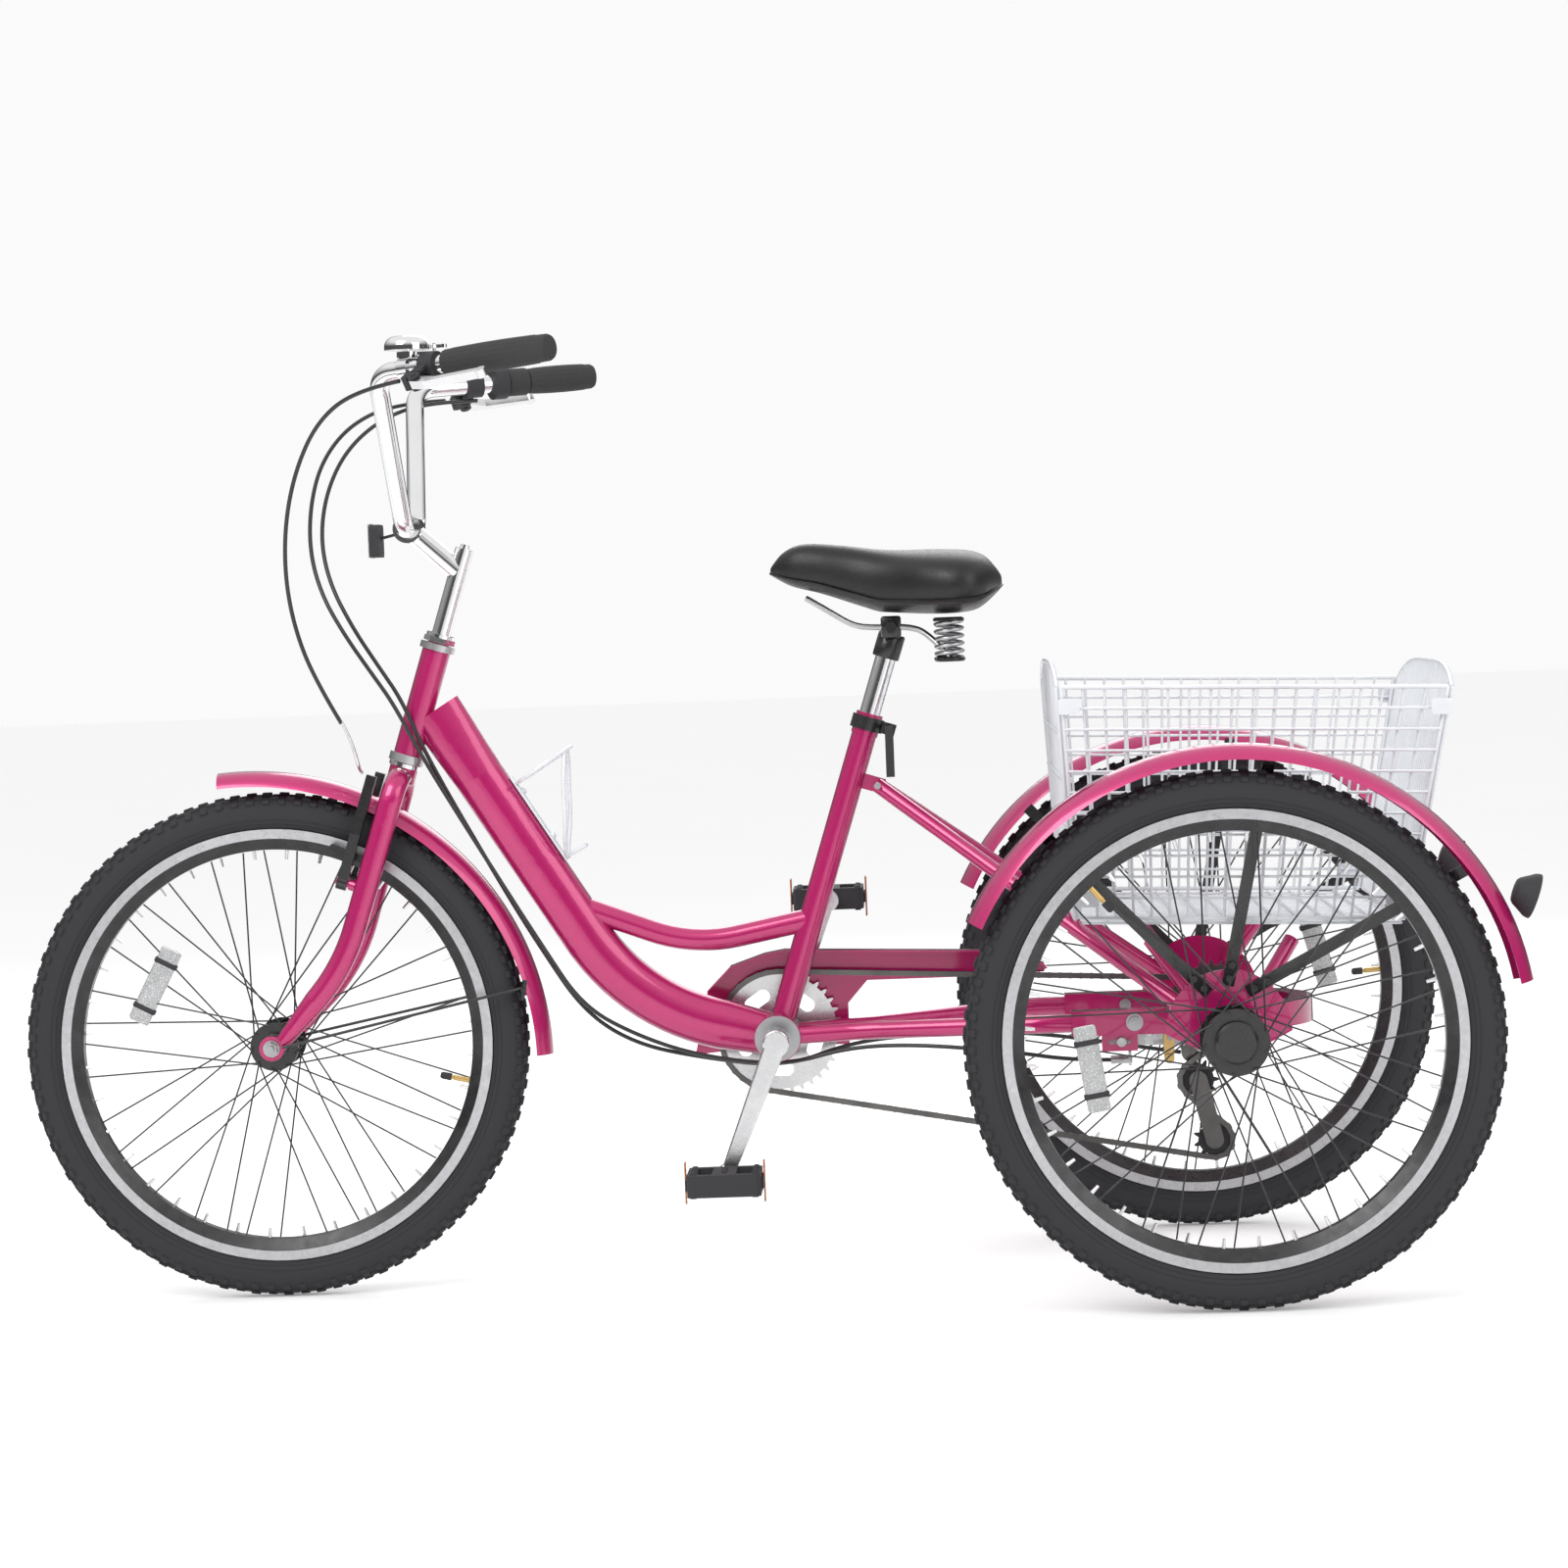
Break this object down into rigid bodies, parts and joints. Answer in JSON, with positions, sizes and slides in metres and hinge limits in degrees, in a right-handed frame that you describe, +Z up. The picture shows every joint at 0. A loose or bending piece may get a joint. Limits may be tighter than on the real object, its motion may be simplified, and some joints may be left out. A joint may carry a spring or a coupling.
{
  "type": "tricycle",
  "caption": "Adult tricycle with a low step-through frame, swept handlebar, sprung saddle, wire cargo basket, fenders, derailleur gears, rim brake and band brake.",
  "frame": {"origin": "on the ground under the middle of the tricycle's overall length and width", "axes": "-X is forwards, +X rearwards, -Y the rider's left, +Z up"},
  "size_m": [1.7762, 0.706, 1.1324],
  "materials": {
    "frame_paint": "deep magenta pearl lacquer, gloss",
    "black_paint": "satin black paint",
    "rim_black": "black anodised with bare brake tracks",
    "hub_black": "black, semi gloss",
    "spoke_black": "black coated wire",
    "tyre_rubber": "black tread rubber",
    "steel": "zinc plated",
    "chrome": "chrome plated",
    "alloy": "silver alloy, polished",
    "dark_steel": "oiled steel",
    "black_plastic": "moulded black plastic",
    "grip_rubber": "ribbed black rubber",
    "white_wire": "white powder coat",
    "saddle_cover": "grained black leatherette",
    "cable_sheath": "black cable sheath"
  },
  "bodies": {
    "frame": {"main_frame": "frame_paint", "rear_frame": "frame_paint", "frame_bolts": "steel", "bearing_cups": "steel", "rear_fenders": "frame_paint", "rear_stays": "black_paint", "tail_lights": "black_plastic", "basket_walls": "white_wire", "basket_floor": "white_wire", "basket_clips": "white_wire", "chain_guard": "frame_paint", "chain": "dark_steel", "derailleur_body": "dark_steel", "derailleur_cage": "dark_steel", "bottle_cage": "white_wire", "seat_collar": "black_plastic", "band_brake": "steel", "frame_cables": "cable_sheath"},
    "steering": {"fork": "frame_paint", "front_axle": "steel", "stem": "chrome", "handlebar": "chrome", "grips": "grip_rubber", "lever_mounts": "black_plastic", "bell": "chrome", "front_reflector": "black_plastic", "front_fender": "frame_paint", "front_fender_stays": "black_paint", "bar_cables": "cable_sheath"},
    "front_wheel": {"front_tyre": "tyre_rubber", "front_rim": "rim_black", "front_hub": "hub_black", "front_spokes": "spoke_black"},
    "rear_wheel_left": {"rear_left_tyre": "tyre_rubber", "rear_left_rim": "rim_black", "rear_left_hub": "hub_black", "rear_left_spokes": "spoke_black"},
    "rear_wheel_right": {"rear_right_tyre": "tyre_rubber", "rear_right_rim": "rim_black", "rear_right_hub": "hub_black", "rear_right_spokes": "spoke_black", "rear_axle": "steel"},
    "freewheel": {"sprockets": "dark_steel"},
    "crank": {"crankset": "alloy", "chainring": "alloy"},
    "pedal_left": {"pedal_left": "black_plastic"},
    "pedal_right": {"pedal_right": "black_plastic"},
    "guide_pulley": {"guide_pulley": "black_plastic"},
    "tension_pulley": {"tension_pulley": "black_plastic"},
    "brake_lever_left": {"brake_lever_left": "alloy"},
    "brake_lever_right": {"brake_lever_right": "alloy"},
    "brake_arm_left": {"brake_arm_left": "black_paint"},
    "brake_arm_right": {"brake_arm_right": "black_paint"},
    "band_brake_arm": {"band_brake_arm": "steel"},
    "twist_shifter": {"twist_shifter": "black_plastic"},
    "bell_striker": {"bell_striker": "chrome"},
    "quick_release": {"quick_release": "black_plastic"},
    "seat": {"seat_post": "chrome", "saddle_frame": "steel", "saddle": "saddle_cover"}
  },
  "joints": [
    {"name": "steer", "type": "hinge", "parent": "frame", "child": "steering", "pos_m": [-0.5246, 0, 0.304], "axis": [0.3074, 0, 0.9516], "range_deg": [-50, 50]},
    {"name": "front_wheel_spin", "type": "hinge", "parent": "steering", "child": "front_wheel", "pos_m": [-0.5845, 0, 0.304], "axis": [0, 1, 0], "continuous": true},
    {"name": "rear_wheel_left_spin", "type": "hinge", "parent": "frame", "child": "rear_wheel_left", "pos_m": [0.5395, -0.315, 0.304], "axis": [0, 1, 0], "continuous": true},
    {"name": "rear_wheel_right_spin", "type": "hinge", "parent": "frame", "child": "rear_wheel_right", "pos_m": [0.5395, 0, 0.304], "axis": [0, 1, 0], "continuous": true},
    {"name": "crank_spin", "type": "hinge", "parent": "frame", "child": "crank", "pos_m": [0.018, 0, 0.2935], "axis": [0, 1, 0], "continuous": true},
    {"name": "pedal_left_spin", "type": "hinge", "parent": "crank", "child": "pedal_left", "pos_m": [-0.0451, -0.15, 0.1404], "axis": [0, 1, 0], "continuous": true},
    {"name": "pedal_right_spin", "type": "hinge", "parent": "crank", "child": "pedal_right", "pos_m": [0.0811, 0.15, 0.4466], "axis": [0, 1, 0], "continuous": true},
    {"name": "freewheel_spin", "type": "hinge", "parent": "frame", "child": "freewheel", "pos_m": [0.5395, 0.045, 0.304], "axis": [0, 1, 0], "continuous": true},
    {"name": "guide_pulley_spin", "type": "hinge", "parent": "frame", "child": "guide_pulley", "pos_m": [0.5209, 0.045, 0.2175], "axis": [0, 1, 0], "continuous": true},
    {"name": "tension_pulley_spin", "type": "hinge", "parent": "frame", "child": "tension_pulley", "pos_m": [0.5385, 0.045, 0.145], "axis": [0, 1, 0], "continuous": true},
    {"name": "brake_lever_left_pull", "type": "hinge", "parent": "steering", "child": "brake_lever_left", "pos_m": [-0.35557, -0.24747, 1.07703], "axis": [-0.2973, -0.4133, 0.8607], "range_deg": [0, 10], "stiffness_Nm_per_rad": 0.8, "springref_deg": -11.46},
    {"name": "brake_lever_right_pull", "type": "hinge", "parent": "steering", "child": "brake_lever_right", "pos_m": [-0.35557, 0.24747, 1.07703], "axis": [0.2973, -0.4133, -0.8607], "range_deg": [0, 10], "stiffness_Nm_per_rad": 0.8, "springref_deg": -11.46},
    {"name": "brake_arm_left_close", "type": "hinge", "parent": "steering", "child": "brake_arm_left", "pos_m": [-0.49321, -0.042, 0.49878], "axis": [-0.9516, 0, 0.3074], "range_deg": [0, 3]},
    {"name": "brake_arm_right_close", "type": "hinge", "parent": "steering", "child": "brake_arm_right", "pos_m": [-0.49321, 0.042, 0.49878], "axis": [0.9516, 0, -0.3074], "range_deg": [0, 3]},
    {"name": "band_brake_pull", "type": "hinge", "parent": "frame", "child": "band_brake_arm", "pos_m": [0.4815, -0.066, 0.282], "axis": [0, 1, 0], "range_deg": [0, 12]},
    {"name": "shifter_twist", "type": "hinge", "parent": "steering", "child": "twist_shifter", "pos_m": [-0.29538, 0.24264, 1.10015], "axis": [0.8671, 0.4942, 0.0623], "range_deg": [-60, 60]},
    {"name": "bell_ring", "type": "hinge", "parent": "steering", "child": "bell_striker", "pos_m": [-0.33896, -0.20014, 1.1174], "axis": [0, 0, 1], "range_deg": [0, 15], "stiffness_Nm_per_rad": 0.02, "springref_deg": -5.73},
    {"name": "quick_release_open", "type": "hinge", "parent": "frame", "child": "quick_release", "pos_m": [0.1641, -0.027, 0.65578], "axis": [-1, 0, 0], "range_deg": [0, 150]},
    {"name": "seat_height", "type": "slide", "parent": "frame", "child": "seat", "axis": [0.309, 0, 0.9511], "range_m": [-0.06, 0.045]}
  ],
  "couplings": [
    {"joint": "freewheel_spin", "follows": "crank_spin", "ratio": 2},
    {"joint": "guide_pulley_spin", "follows": "crank_spin", "ratio": -3.2727},
    {"joint": "tension_pulley_spin", "follows": "crank_spin", "ratio": 3.2727},
    {"joint": "brake_arm_left_close", "follows": "brake_lever_left_pull", "ratio": 0.3},
    {"joint": "brake_arm_right_close", "follows": "brake_lever_left_pull", "ratio": 0.3},
    {"joint": "band_brake_pull", "follows": "brake_lever_right_pull", "ratio": 1.2}
  ]
}
